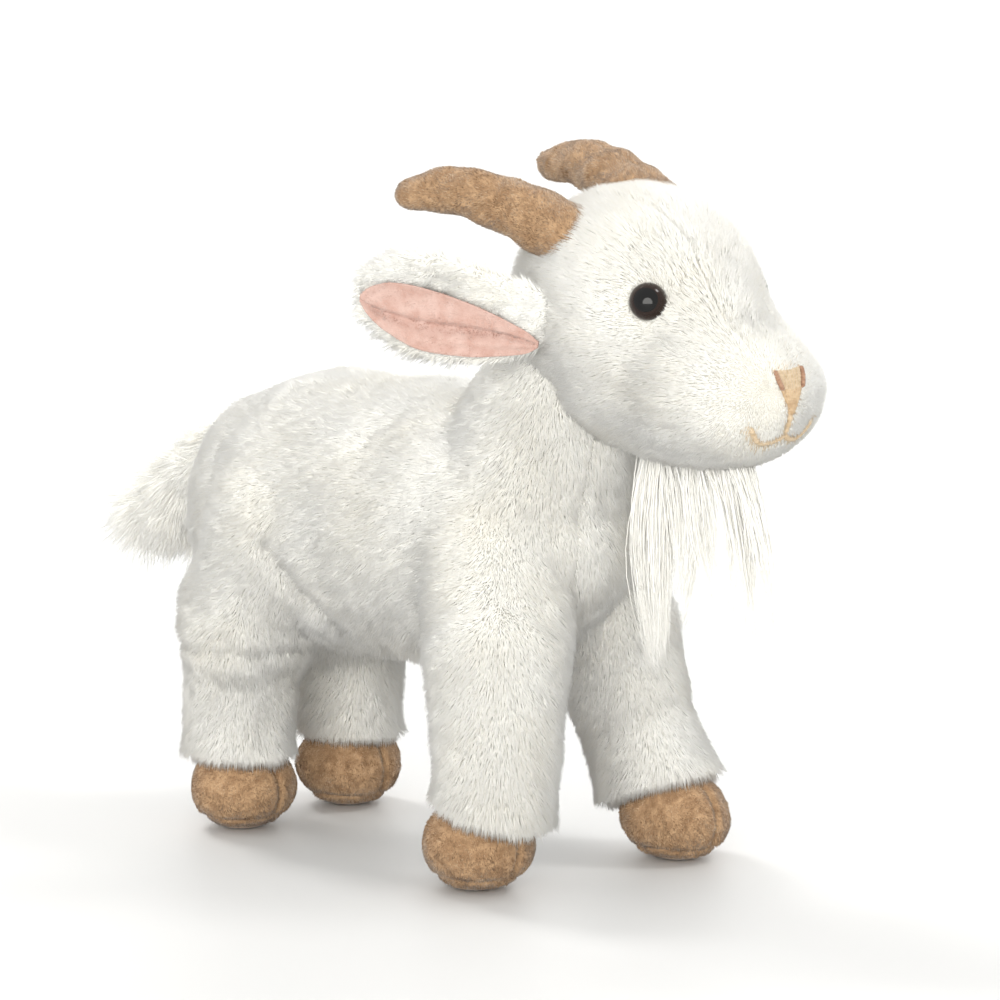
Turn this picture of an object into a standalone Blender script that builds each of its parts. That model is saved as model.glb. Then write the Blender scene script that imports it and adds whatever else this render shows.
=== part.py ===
"""A standing plush toy goat: fur covers over stuffing, with sewn-on horns, ears, hooves, tail and beard.

The goat faces -Y, its left side is +X, and it stands on z = 0. Sizes below are in millimetres and
become metres when a mesh is made. A body of the toy is a row of balls along a smooth line, given as
(x, y, z, radius), fused into one soft skin. A cover is the outer few millimetres of that skin, and the
stuffing is what is left inside it.
"""
import math

import bmesh
import bpy
from mathutils import Matrix, Vector
from mathutils.bvhtree import BVHTree

MM = 0.001

# Cloth thicknesses (with their pile) and the gaps between neighbouring pieces
PLUSH = 4.0
MINKY = 2.0
GAP = 0.35
FILL_GAP = 0.8
SWING_ROOM = 1.6
HULL_TRIANGLES = 110

# Trunk and neck
TRUNK = [(0, 56, 105, 42.5), (0, 40, 106, 46), (0, 8, 106.5, 46), (0, -24, 107.5, 44), (0, -40, 109, 37)]
NECK = [(0, -43, 124, 34), (0, -53, 144, 30), (0, -60, 157, 27), (0, -66, 170, 23)]
TRUNK_WIDTH = 0.95
GUSSET_HALF_WIDTH = 13.0
GUSSET_TOP = 88.0
THROAT_LINE = ((-44, 88), (-78, 186))

# Head
HEAD = [(0, -76, 182, 34), (0, -88, 181, 38), (0, -103, 171, 32.5), (0, -112, 165, 28), (0, -122, 159, 23.5)]
JOWLS = [(0, -88, 164, 27), (0, -108, 158, 24), (0, -124, 157.5, 22.5)]
JOWL_WIDTH = 1.18
HEAD_PIVOT = (0, -66, 170)
HEAD_AXIS = (0, -0.476, 0.879)
HEAD_TURN = 20.0
FOREHEAD_HALF_WIDTH = 11.0
FOREHEAD_BOTTOM = 169.0
CHIN_HALF_WIDTH = 12.0
CHIN_TOP = 146.0

# Eyes: glossy domes on a post, held inside by a washer, placed by a ray from the side
EYE_HEIGHT = 187.5
EYE_Y = -111.0
EYE_RADIUS = 6.0
EYE_BULGE = 4.6
EYE_SINK = 2.4
EYE_POST_RADIUS = 1.6
EYE_POST_LENGTH = 13.0
WASHER_RADIUS = 7.0
WASHER_DEPTH = 5.6
WASHER_THICKNESS = 1.2

# Nose and mouth, as heights on the front of the muzzle and offsets from its middle
NOSE_ARMS = [(-7.5, 166.5, 2.6), (-5.5, 163, 2.8), (-2.6, 158.5, 2.6), (0, 155, 2.0)]
NOSE_BRIDGE = [(-6.0, 166, 2.6), (0, 164.5, 3.0), (6.0, 166, 2.6)]
MOUTH_SIDE = [(0, 146.5, 0.9), (-4.5, 144.5, 0.9), (-9.0, 144.5, 0.9), (-13.0, 147.5, 0.8)]
PHILTRUM = [(0, 154.5, 0.8), (0, 146.5, 0.9)]
STITCH_LIFT = 1.0

# Horns: the left one is sewn a little higher
HORN = [(-18, -77, 194, 12), (-20.5, -71, 203.5, 11.3), (-26, -50, 212.5, 9.3), (-30, -33, 215.5, 8),
        (-33.5, -19.5, 213.5, 5.8)]
HORN_LIFT_LEFT = 5.0

# Ears, in their own frame: +Y runs to the tip, +X across, +Z out of the lining
EAR_ROOT = (-33.0, -75.0, 180.0)
EAR_TIP = (-61.0, -23.0, 187.0)
EAR_FACING = (-0.80, -0.50, -0.22)
EAR_SECTIONS = [(0, 10.0), (14, 14.0), (30, 17.0), (44, 15.5), (54, 10.0)]
EAR_THICKNESS = 5.0
EAR_CUP = 5.0
EAR_CUP_SPAN = 15.0
LINING_SECTIONS = [(7, 7.5), (20, 11.5), (36, 12), (49, 8)]
LINING_DROP = 3.0
LINING_THICKNESS = 2.0
EAR_SWING = 20.0

# Legs: (hip, knee, shin, ankle, hoof centre), the hem's height and its slope to the front in degrees
LEG_STANCES = {
    "front_right": ([(-32, -54, 74, 23), (-35, -57, 53, 21.5), (-36.5, -58, 34, 20.5), (-37, -55.5, 18, 21)],
                    (-37, -51), 25.0, 14.0),
    "front_left": ([(32, -47, 74, 22), (34, -49, 56, 19.5), (36, -58, 34, 20), (37, -65, 18, 21)],
                   (37, -69), 22.5, -20.0),
    "rear_right": ([(-25, 62, 75, 24), (-25.5, 64, 54, 21), (-25.5, 65, 34, 20), (-25.5, 65, 18, 21)],
                   (-25, 64), 23.0, 0.0),
    "rear_left": ([(25, 61, 75, 23.5), (25, 63, 54, 20.5), (25, 64, 34, 19.5), (25, 64, 18, 20.5)],
                  (25, 64), 23.0, 0.0),
}
LEG_WIDTH = {"front": 0.95, "rear": 0.85}
LEG_SWING = 15.0
HOOF_RADIUS = 17.2
HOOF_HALF_HEIGHT = 14.9
HOOF_CENTRE_HEIGHT = 13.6
HOOF_TOP = 27.0
SOLE_SEAM = 4.5

# Tail and beard
TAIL = [(0, 86, 123, 12), (0, 104, 111.5, 15.5), (0, 119, 100, 17), (0, 136, 93, 12)]
TAIL_OPENING = 80.0
TAIL_SWING = 25.0
BEARD_ROW = [(0, -92, 130, 3.6), (0, -108, 129, 3.6), (0, -124, 129.5, 3.6)]
BEARD_LOCKS = [
    [(0, -94, 127, 4.5), (0, -94, 108, 6.5), (0, -93, 84, 5), (0, -92, 64, 2.8)],
    [(0, -104, 127, 4.5), (0, -104, 111, 6), (0, -103, 92, 3)],
    [(0, -114, 127, 4.5), (0, -116, 108, 6), (0, -121, 86, 3)],
    [(0, -122, 127, 4.5), (0, -127, 108, 5.5), (0, -132, 86, 3)],
]

# Colours and finishes: red, green, blue, roughness
FINISHES = {
    "white_plush": (0.86, 0.83, 0.77, 0.9),
    "brown_minky": (0.36, 0.20, 0.10, 0.85),
    "pink_velour": (0.80, 0.45, 0.36, 0.85),
    "black_gloss": (0.012, 0.009, 0.008, 0.06),
    "tan_stitching": (0.45, 0.22, 0.13, 0.75),
    "polyester_fill": (0.88, 0.88, 0.86, 1.0),
    "washer_nylon": (0.75, 0.75, 0.72, 0.5),
}


# ---------------------------------------------------------------- scene helpers

def clear_scene():
    for item in list(bpy.data.objects):
        bpy.data.objects.remove(item, do_unlink=True)


def new_collection(name):
    collection = bpy.data.collections.new(name)
    bpy.context.scene.collection.children.link(collection)
    return collection


def mesh_of(shape, name="shape"):
    """A mesh holding the shape, which is used up."""
    bmesh.ops.recalc_face_normals(shape, faces=shape.faces)
    mesh = bpy.data.meshes.new(name)
    shape.to_mesh(mesh)
    shape.free()
    return mesh


def shape_of(mesh):
    shape = bmesh.new()
    shape.from_mesh(mesh)
    return shape


def evaluated(item):
    """The object's mesh with its modifiers on; the object is removed."""
    bpy.context.view_layer.update()
    graph = bpy.context.evaluated_depsgraph_get()
    mesh = bpy.data.meshes.new_from_object(item.evaluated_get(graph))
    bpy.data.objects.remove(item, do_unlink=True)
    return mesh


def bench_object(mesh):
    item = bpy.data.objects.new("on_the_bench", mesh)
    bpy.context.scene.collection.objects.link(item)
    return item


# ---------------------------------------------------------------- soft forms

def smooth_line(points, steps=8):
    """Points on a Catmull-Rom line through the given ones, all their numbers smoothed alike."""
    rows = [Vector(p) for p in points]
    rows = [2 * rows[0] - rows[1]] + rows + [2 * rows[-1] - rows[-2]]
    line = []
    for before, start, end, after in zip(rows, rows[1:], rows[2:], rows[3:]):
        for step in range(steps):
            t = step / steps
            line.append(0.5 * (2 * start + (end - before) * t
                               + (2 * before - 5 * start + 4 * end - after) * t * t
                               + (3 * start - before - 3 * end + after) * t ** 3))
    line.append(rows[-2])
    return line


def round_balls(points, stretch=(1, 1, 1)):
    """Balls (x, y, z, three radii) along a line of (x, y, z, radius) points."""
    balls = []
    for x, y, z, radius in smooth_line(points):
        balls.append((x, y, z, radius * stretch[0], radius * stretch[1], radius * stretch[2]))
    return balls


def soft_form(balls, triangles, voxel=2.5, place=Matrix.Identity(4), relax=6):
    """One smooth closed skin round all the balls, thinned to about so many triangles."""
    shape = bmesh.new()
    for x, y, z, *radii in balls:
        ball = place @ Matrix.Translation((x, y, z)) @ Matrix.Diagonal((*radii, 1))
        bmesh.ops.create_icosphere(shape, subdivisions=3, radius=1, matrix=ball)
    bmesh.ops.scale(shape, vec=(MM, MM, MM), verts=shape.verts)
    item = bench_object(mesh_of(shape))
    skin = item.modifiers.new("one_skin", 'REMESH')
    skin.mode = 'VOXEL'
    skin.voxel_size = voxel * MM
    ease = item.modifiers.new("ease", 'SMOOTH')
    ease.factor = 0.5
    ease.iterations = relax
    return thinned(evaluated(item), triangles)


def thinned(mesh, triangles):
    """The mesh with about so many triangles."""
    mesh.calc_loop_triangles()
    item = bench_object(mesh)
    thin = item.modifiers.new("thin", 'DECIMATE')
    thin.ratio = min(1.0, triangles / len(mesh.loop_triangles))
    thin.use_collapse_triangulate = True
    return evaluated(item)


def grown(mesh, distance):
    """A copy with every point moved out along its normal, or in where the distance is negative."""
    shape = shape_of(mesh)
    shape.normal_update()
    moves = [(vertex, vertex.normal.copy()) for vertex in shape.verts]
    for vertex, normal in moves:
        vertex.co += normal * distance * MM
    return mesh_of(shape)


def mirrored(mesh):
    shape = shape_of(mesh)
    bmesh.ops.scale(shape, vec=(-1, 1, 1), verts=shape.verts)
    return mesh_of(shape)


def lifted(mesh, height):
    shape = shape_of(mesh)
    bmesh.ops.translate(shape, vec=(0, 0, height * MM), verts=shape.verts)
    return mesh_of(shape)


def block(low, high, turn=Matrix.Identity(4)):
    """A box between two corners, then turned about the origin."""
    low, high = Vector(low) * MM, Vector(high) * MM
    shape = bmesh.new()
    bmesh.ops.create_cube(shape, size=1)
    bmesh.ops.scale(shape, vec=high - low, verts=shape.verts)
    bmesh.ops.translate(shape, vec=(high + low) / 2, verts=shape.verts)
    bmesh.ops.transform(shape, matrix=turn, verts=shape.verts)
    return mesh_of(shape)


def rod(radius, bottom, top, place):
    """A cylinder on the place's Z axis, from bottom to top."""
    shape = bmesh.new()
    middle = Matrix.Translation((0, 0, (bottom + top) / 2 * MM))
    bmesh.ops.create_cone(shape, cap_ends=True, segments=12, radius1=radius * MM, radius2=radius * MM,
                          depth=(top - bottom) * MM, matrix=place @ middle)
    return mesh_of(shape)


def combined(mesh, tools, operation):
    """The mesh after one Boolean with each tool in turn."""
    for tool in tools:
        item = bench_object(mesh)
        other = bench_object(tool)
        boolean = item.modifiers.new("combine", 'BOOLEAN')
        boolean.operation = operation
        boolean.object = other
        mesh = evaluated(item)
        bpy.data.objects.remove(other, do_unlink=True)
    return mesh


def without(mesh, *tools):
    return combined(mesh, tools, 'DIFFERENCE')


def within(mesh, *tools):
    return combined(mesh, tools, 'INTERSECT')


def joined(mesh, *tools):
    return combined(mesh, tools, 'UNION')


def swing_space(mesh, pivot, axis, limit, room=SWING_ROOM):
    """The hull of everything a body sweeps as it turns by its limit both ways, with room round it."""
    centre = Vector(pivot) * MM
    shape = bmesh.new()
    swollen = grown(mesh, room)
    for share in (-1, -0.5, 0, 0.5, 1):
        turn = Matrix.Rotation(math.radians((limit + 1) * share), 4, Vector(axis))
        spin = Matrix.Translation(centre) @ turn @ Matrix.Translation(-centre)
        for vertex in swollen.vertices:
            shape.verts.new(spin @ vertex.co)
    hull = bmesh.ops.convex_hull(shape, input=shape.verts)
    spare = {item for item in hull["geom_interior"] + hull["geom_unused"]
             if isinstance(item, bmesh.types.BMVert)}
    bmesh.ops.delete(shape, geom=list(spare), context='VERTS')
    return thinned(mesh_of(shape), HULL_TRIANGLES)


def main_piece(mesh):
    """The mesh's largest loose piece: crumbs that a cut leaves behind are dropped."""
    shape = shape_of(mesh)
    bmesh.ops.remove_doubles(shape, verts=shape.verts, dist=0.01 * MM)
    todo = set(shape.verts)
    pieces = []
    while todo:
        front = [todo.pop()]
        piece = set(front)
        while front:
            vertex = front.pop()
            for edge in vertex.link_edges:
                other = edge.other_vert(vertex)
                if other in todo:
                    todo.discard(other)
                    piece.add(other)
                    front.append(other)
        pieces.append(piece)
    largest = max(pieces, key=len)
    crumbs = [vertex for vertex in shape.verts if vertex not in largest]
    bmesh.ops.delete(shape, geom=crumbs, context='VERTS')
    return mesh_of(shape)


# ---------------------------------------------------------------- finished nodes

def finish_material(name):
    material = bpy.data.materials.get(name)
    if material is None:
        red, green, blue, roughness = FINISHES[name]
        material = bpy.data.materials.new(name)
        material.use_nodes = True
        shader = material.node_tree.nodes["Principled BSDF"]
        shader.inputs["Base Color"].default_value = (red, green, blue, 1)
        shader.inputs["Roughness"].default_value = roughness
    return material


class Goat:
    """The collection that the finished pieces go in, each piece with a material of its own."""

    def __init__(self):
        self.pieces = new_collection("plush_goat")

    def add(self, name, mesh, finish):
        mesh = main_piece(mesh)
        mesh.name = name
        item = bpy.data.objects.new(name, mesh)
        self.pieces.objects.link(item)
        material = finish_material(finish).copy()
        material.name = name + "_" + finish
        mesh.materials.clear()
        mesh.materials.append(material)
        mesh.shade_smooth()
        mesh.set_sharp_from_angle(angle=math.radians(40))
        return item


def half_space(side):
    """Everything on one side of the goat's middle plane, half a gap short of it."""
    near = GAP / 2
    if side == "right":
        return block((-300, -300, -50), (-near, 300, 400))
    return block((near, -300, -50), (300, 300, 400))


# ---------------------------------------------------------------- head

def head_form():
    balls = round_balls(HEAD) + round_balls(JOWLS, (JOWL_WIDTH, 1, 1))
    return soft_form(balls, 420)


def surface_point(tree, start, direction):
    """Where a ray from outside meets the head, in millimetres, and the way out of the head there."""
    place, normal, _, _ = tree.ray_cast(Vector(start) * MM, Vector(direction))
    return place / MM, normal


def eye_place(tree, side):
    """The matrix of an eye: its Z axis points out of the head, its origin is on the head's surface."""
    sign = -1 if side == "right" else 1
    start = Vector((sign * 80, EYE_Y, EYE_HEIGHT))
    place, _ = surface_point(tree, start, (-sign, 0, 0))
    around = []
    for y_step, z_step in ((-6, 0), (6, 0), (0, -6), (0, 6)):
        _, normal = surface_point(tree, start + Vector((0, y_step, z_step)), (-sign, 0, 0))
        around.append(normal)
    outward = sum(around, Vector()).normalized()
    return Matrix.Translation(place * MM) @ outward.to_track_quat('Z', 'Y').to_matrix().to_4x4()


def eye_mesh(place):
    """A dome on a post, the dome's flat back sunk in the fur."""
    dome = bmesh.new()
    stretch = Matrix.Diagonal((EYE_RADIUS * MM, EYE_RADIUS * MM, EYE_BULGE * MM, 1))
    seat = Matrix.Translation((0, 0, -EYE_SINK * MM))
    bmesh.ops.create_uvsphere(dome, u_segments=16, v_segments=9, radius=1, matrix=place @ seat @ stretch)
    below = rod(EYE_RADIUS * 2, -EYE_SINK - 10, -EYE_SINK - 0.4, place)
    post = rod(EYE_POST_RADIUS, -EYE_POST_LENGTH, -EYE_SINK, place)
    return joined(without(mesh_of(dome), below), post)


def washer_mesh(place):
    top = -WASHER_DEPTH
    disc = rod(WASHER_RADIUS, top - WASHER_THICKNESS, top, place)
    return without(disc, rod(EYE_POST_RADIUS + GAP, top - 5, top + 5, place))


def front_points(tree, outline, lift):
    """Points (x, y, z, radius) laid on the front of the muzzle, lifted off it a little."""
    points = []
    for x, z, radius in outline:
        place, outward = surface_point(tree, (x, -200, z), (0, 1, 0))
        points.append((*(place + outward * lift), radius))
    return points


def both_sides(outline):
    return outline, [(-x, z, radius) for x, z, radius in outline]


def nose_mesh(tree, head):
    balls = []
    for arm in both_sides(NOSE_ARMS):
        balls += round_balls(front_points(tree, arm, 0), (1, 0.7, 1))
    balls += round_balls(front_points(tree, NOSE_BRIDGE, 0), (1, 0.7, 1))
    return without(soft_form(balls, 110, voxel=0.6, relax=3), grown(head, GAP))


def mouth_mesh(tree):
    balls = []
    for arm in both_sides(MOUTH_SIDE):
        balls += round_balls(front_points(tree, arm, STITCH_LIFT + GAP))
    balls += round_balls(front_points(tree, PHILTRUM, STITCH_LIFT + GAP))
    return soft_form(balls, 160, voxel=0.35, relax=1)


def horn_form(side):
    mesh = soft_form(round_balls(HORN), 110, voxel=1.5)
    if side == "left":
        mesh = lifted(mirrored(mesh), HORN_LIFT_LEFT)
    return mesh


def add_horns(goat, head):
    for side in ("right", "left"):
        horn = horn_form(side)
        crown = grown(head, GAP)
        cover = without(without(horn, grown(horn, -MINKY)), crown)
        goat.add(f"horn_{side}_cover", cover, "brown_minky")
        goat.add(f"horn_{side}_filling", without(grown(horn, -MINKY - FILL_GAP), crown), "polyester_fill")


def ear_frame():
    """The right ear's own frame: Y to the tip, Z out of the lining, origin at the root."""
    root, tip = Vector(EAR_ROOT), Vector(EAR_TIP)
    along = (tip - root).normalized()
    facing = Vector(EAR_FACING)
    facing = (facing - along * facing.dot(along)).normalized()
    across = along.cross(facing)
    turn = Matrix((across, along, facing)).transposed().to_4x4()
    return Matrix.Translation(root) @ turn


def cupped(mesh, frame):
    """The ear's edges curled towards its lining, more and more away from the root."""
    local = frame.inverted() @ Matrix.Scale(1 / MM, 4)
    back = Matrix.Scale(MM, 4) @ frame
    shape = shape_of(mesh)
    for vertex in shape.verts:
        point = local @ vertex.co
        away = min(max((point.y - EAR_THICKNESS) / EAR_CUP_SPAN, 0), 1)
        point.z += EAR_CUP * away * (point.x / EAR_CUP_SPAN) ** 2
        vertex.co = back @ point
    return mesh_of(shape)


def ear_balls(sections, thickness, lift=0.0, across=0.0):
    rows = smooth_line([(across, y, lift, half_width) for y, half_width in sections], 6)
    return [(x, y, z, half_width, thickness, thickness) for x, y, z, half_width in rows]


def ear_meshes():
    """The right ear's form, its fur back and its lining."""
    frame = ear_frame()
    form = cupped(soft_form(ear_balls(EAR_SECTIONS, EAR_THICKNESS), 150, voxel=1.2, place=frame), frame)
    lining = soft_form(ear_balls(LINING_SECTIONS, LINING_THICKNESS, EAR_THICKNESS - 1.2, -LINING_DROP), 80,
                       voxel=0.8, place=frame)
    lining = cupped(lining, frame)
    return form, without(form, grown(lining, GAP)), lining


def ear_axis(side):
    across = ear_frame().to_3x3() @ Vector((1, 0, 0))
    if side == "left":
        across = Vector((-across.x, across.y, across.z))
    return across


def add_ears(goat):
    """Both ears; returns the spaces that they swing through."""
    form, back, lining = ear_meshes()
    spaces = []
    for side in ("right", "left"):
        pivot = Vector(EAR_ROOT)
        if side == "left":
            form, back, lining = mirrored(form), mirrored(back), mirrored(lining)
            pivot.x = -pivot.x
        goat.add(f"ear_{side}_back", back, "white_plush")
        goat.add(f"ear_{side}_lining", lining, "pink_velour")
        spaces.append(swing_space(form, pivot, ear_axis(side), EAR_SWING))
    return spaces


def add_head(goat, head, neck_spaces):
    tree = BVHTree.FromBMesh(shape_of(head))
    add_horns(goat, head)
    ear_spaces = add_ears(goat)
    eyes = {side: eye_place(tree, side) for side in ("right", "left")}
    sockets = []
    washers_room = []
    for side, place in eyes.items():
        goat.add(f"eye_{side}", eye_mesh(place), "black_gloss")
        goat.add(f"eye_{side}_washer", washer_mesh(place), "washer_nylon")
        sockets.append(rod(EYE_RADIUS + 0.6, -EYE_SINK - 0.9, 10, place))
        sockets.append(rod(EYE_POST_RADIUS + GAP, -EYE_POST_LENGTH - 1, 0, place))
        washers_room.append(rod(WASHER_RADIUS + 0.6, -WASHER_DEPTH - WASHER_THICKNESS - 0.6, 0, place))
        washers_room.append(rod(EYE_POST_RADIUS + GAP, -EYE_POST_LENGTH - 1, 0, place))

    cover = without(head, grown(head, -PLUSH))
    cover = without(cover, *neck_spaces, *ear_spaces, *sockets)
    forehead = block((-FOREHEAD_HALF_WIDTH, -300, FOREHEAD_BOTTOM), (FOREHEAD_HALF_WIDTH, 0, 300))
    chin = block((-CHIN_HALF_WIDTH, -300, 50), (CHIN_HALF_WIDTH, 0, CHIN_TOP))
    goat.add("head_top_gusset", within(cover, forehead), "white_plush")
    goat.add("chin_gusset", within(cover, chin), "white_plush")
    cheeks = without(cover, grown(forehead, GAP), grown(chin, GAP))
    for side in ("right", "left"):
        goat.add(f"head_side_{side}", within(cheeks, half_space(side)), "white_plush")
    filling = without(grown(head, -PLUSH - FILL_GAP), *neck_spaces, *ear_spaces, *washers_room)
    goat.add("head_filling", filling, "polyester_fill")
    nose = nose_mesh(tree, head)
    goat.add("nose", nose, "tan_stitching")
    mouth = without(mouth_mesh(tree), grown(nose, GAP), grown(head, GAP))
    goat.add("mouth_stitching", mouth, "tan_stitching")


# ---------------------------------------------------------------- legs, tail and beard

def hem_cut(height, slope, centre):
    """Everything above a leg's hem, which may run down or up towards the front."""
    place = Matrix.Translation(Vector((centre[0], centre[1], height)) * MM)
    turn = place @ Matrix.Rotation(math.radians(slope), 4, 'X')
    return block((-60, -80, 0), (60, 80, 150), turn)


def hoof_form(centre):
    x, y = centre
    radii = (HOOF_RADIUS, HOOF_RADIUS * 1.04, HOOF_HALF_HEIGHT)
    return soft_form([(x, y, HOOF_CENTRE_HEIGHT, *radii)], 100, voxel=1.5, relax=2)


def slab(bottom, top):
    """Everything between two heights."""
    return block((-300, -300, bottom), (300, 300, top))


def add_hoof(goat, name, hoof):
    wall = without(hoof, within(grown(hoof, -MINKY), slab(MINKY, 100)))
    core = within(grown(hoof, -MINKY - FILL_GAP), slab(MINKY + FILL_GAP, HOOF_TOP - 3))
    goat.add(f"{name}_hoof_cover", within(wall, slab(SOLE_SEAM + GAP, HOOF_TOP - 2)), "brown_minky")
    goat.add(f"{name}_hoof_sole", within(wall, slab(0, SOLE_SEAM)), "brown_minky")
    goat.add(f"{name}_hoof_filling", core, "polyester_fill")


def add_leg(goat, name, stance, width):
    """One leg and its hoof; returns the space that the leg swings through."""
    points, hoof_centre, hem_height, hem_slope = stance
    form = soft_form(round_balls(points, (width, 1, 1)), 190)
    above_hem = hem_cut(hem_height, hem_slope, hoof_centre)
    hoof = hoof_form(hoof_centre)
    hoof_room = grown(hoof, GAP)
    inside = grown(form, -PLUSH)
    cover = without(within(form, above_hem), inside, hoof_room)
    filling = within(grown(form, -PLUSH - FILL_GAP), hem_cut(hem_height + 2, hem_slope, hoof_centre))
    goat.add(f"leg_{name}_cover", cover, "white_plush")
    goat.add(f"leg_{name}_filling", without(filling, hoof_room), "polyester_fill")
    add_hoof(goat, f"leg_{name}", hoof)
    return swing_space(form, points[0][:3], (1, 0, 0), LEG_SWING)


def add_tail(goat):
    """The tail; returns the space that it swings through."""
    form = soft_form(round_balls(TAIL), 120, voxel=1.8)
    behind = block((-100, TAIL_OPENING, 0), (100, 300, 300))
    cover = within(without(form, grown(form, -PLUSH)), behind)
    filling = within(grown(form, -PLUSH - FILL_GAP), block((-100, TAIL_OPENING + 1, 0), (100, 300, 300)))
    goat.add("tail_cover", cover, "white_plush")
    goat.add("tail_filling", filling, "polyester_fill")
    return swing_space(form, TAIL[0][:3], (0, 0, 1), TAIL_SWING)


def add_beard(goat):
    balls = round_balls(BEARD_ROW)
    for lock in BEARD_LOCKS:
        balls += round_balls(lock, (0.8, 1, 1))
    goat.add("beard", soft_form(balls, 240, voxel=1.2, relax=3), "white_plush")


# ---------------------------------------------------------------- body

def underside():
    """The strip of cloth under the belly and up the throat, as the space that it fills."""
    half = GUSSET_HALF_WIDTH
    belly = block((-half, -300, 0), (half, 300, GUSSET_TOP))
    (low_y, low_z), (high_y, high_z) = THROAT_LINE
    lean = math.atan2(low_y - high_y, high_z - low_z)
    place = Matrix.Translation(Vector((0, low_y, low_z)) * MM)
    throat = block((-half, -200, -30), (half, 0, 200), place @ Matrix.Rotation(lean, 4, 'X'))
    return joined(belly, throat)


def add_body(goat, form, spaces):
    cover = without(form, grown(form, -PLUSH))
    strip = underside()
    goat.add("belly_gusset", without(within(cover, strip), *spaces), "white_plush")
    sides = without(cover, grown(strip, GAP), *spaces)
    for side in ("right", "left"):
        goat.add(f"body_side_{side}", within(sides, half_space(side)), "white_plush")
    goat.add("body_filling", without(grown(form, -PLUSH - FILL_GAP), *spaces), "polyester_fill")


def main():
    clear_scene()
    goat = Goat()
    spaces = []
    for name, stance in LEG_STANCES.items():
        spaces.append(add_leg(goat, name, stance, LEG_WIDTH[name.split("_")[0]]))
    spaces.append(add_tail(goat))
    trunk = round_balls(TRUNK, (TRUNK_WIDTH, 1, 1)) + round_balls(NECK)
    body = soft_form(trunk, 520, voxel=3.0)
    add_body(goat, body, spaces)
    neck = soft_form(round_balls(NECK), 140)
    neck_space = swing_space(neck, HEAD_PIVOT, HEAD_AXIS, HEAD_TURN)
    add_head(goat, head_form(), [neck_space, grown(body, SWING_ROOM)])
    add_beard(goat)


main()
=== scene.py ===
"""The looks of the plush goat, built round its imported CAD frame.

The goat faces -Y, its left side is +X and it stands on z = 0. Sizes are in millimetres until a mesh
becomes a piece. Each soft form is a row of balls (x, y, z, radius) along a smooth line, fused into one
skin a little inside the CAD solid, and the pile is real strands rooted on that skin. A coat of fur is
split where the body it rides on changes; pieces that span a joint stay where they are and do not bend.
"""
import math

import bmesh
import bpy
import numpy as np
from mathutils import Matrix, Vector
from mathutils.bvhtree import BVHTree


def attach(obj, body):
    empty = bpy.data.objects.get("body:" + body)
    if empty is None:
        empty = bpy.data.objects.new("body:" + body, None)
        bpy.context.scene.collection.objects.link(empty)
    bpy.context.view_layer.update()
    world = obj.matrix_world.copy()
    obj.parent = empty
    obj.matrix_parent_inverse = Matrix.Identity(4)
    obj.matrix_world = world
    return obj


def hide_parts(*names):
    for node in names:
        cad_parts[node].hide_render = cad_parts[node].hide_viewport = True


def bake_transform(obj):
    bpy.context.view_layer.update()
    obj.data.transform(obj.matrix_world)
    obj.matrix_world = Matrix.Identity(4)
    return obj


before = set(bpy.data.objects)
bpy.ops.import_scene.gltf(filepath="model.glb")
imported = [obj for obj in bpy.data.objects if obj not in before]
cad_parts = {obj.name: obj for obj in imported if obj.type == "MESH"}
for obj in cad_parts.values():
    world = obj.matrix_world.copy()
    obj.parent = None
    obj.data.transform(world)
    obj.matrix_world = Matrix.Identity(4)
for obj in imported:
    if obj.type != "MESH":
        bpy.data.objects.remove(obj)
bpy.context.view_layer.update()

MM = 0.001
TRIANGLES_PER_PIECE = 190000

# Camera: where it looks from, in degrees and millimetres, and how the frame is shifted
CAMERA_AZIMUTH = -47.3
CAMERA_ELEVATION = 8.9
CAMERA_DISTANCE = 1500.0
CAMERA_TARGET = (0, 0, 106)
CAMERA_LENS = 168.5
CAMERA_SHIFT = (0.0619, 0.0195)

# Trunk and neck
TRUNK = [(0, 56, 105, 42.5), (0, 40, 106, 46), (0, 8, 106.5, 46), (0, -24, 107.5, 44), (0, -40, 109, 37)]
NECK = [(0, -43, 124, 34), (0, -53, 144, 30), (0, -60, 157, 27), (0, -66, 170, 23)]
TRUNK_WIDTH = 0.95
GUSSET_HALF_WIDTH = 13.0
GUSSET_TOP = 88.0
THROAT_LINE = ((-44, 88), (-78, 186))
SKIN_INSET = 2.6

# Stuffing that carries the legs into the trunk
STUFFING = [
    [(-11, -34, 108, 29), (-22, -46, 90, 25), (-31, -54, 68, 22.5)],
    [(11, -34, 108, 29), (22, -42, 90, 24.5), (31, -48, 68, 21.5), (34, -51, 54, 20.5)],
    [(-12, 44, 102, 36), (-20, 54, 86, 27), (-25, 62, 66, 23)],
    [(12, 44, 102, 36), (20, 54, 86, 27), (25, 62, 66, 23)],
]

# Folds of the cover, on both flanks: side-on (y, z) points, depth and width
FOLDS = [
    ([(34, 100), (29, 92), (22, 82), (17, 70)], 2.4, 4.0),
    ([(40, 64), (60, 62.5), (88, 65)], 1.2, 2.4),
    ([(45, 60), (47, 46), (50, 30)], 1.4, 2.6),
]

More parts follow.
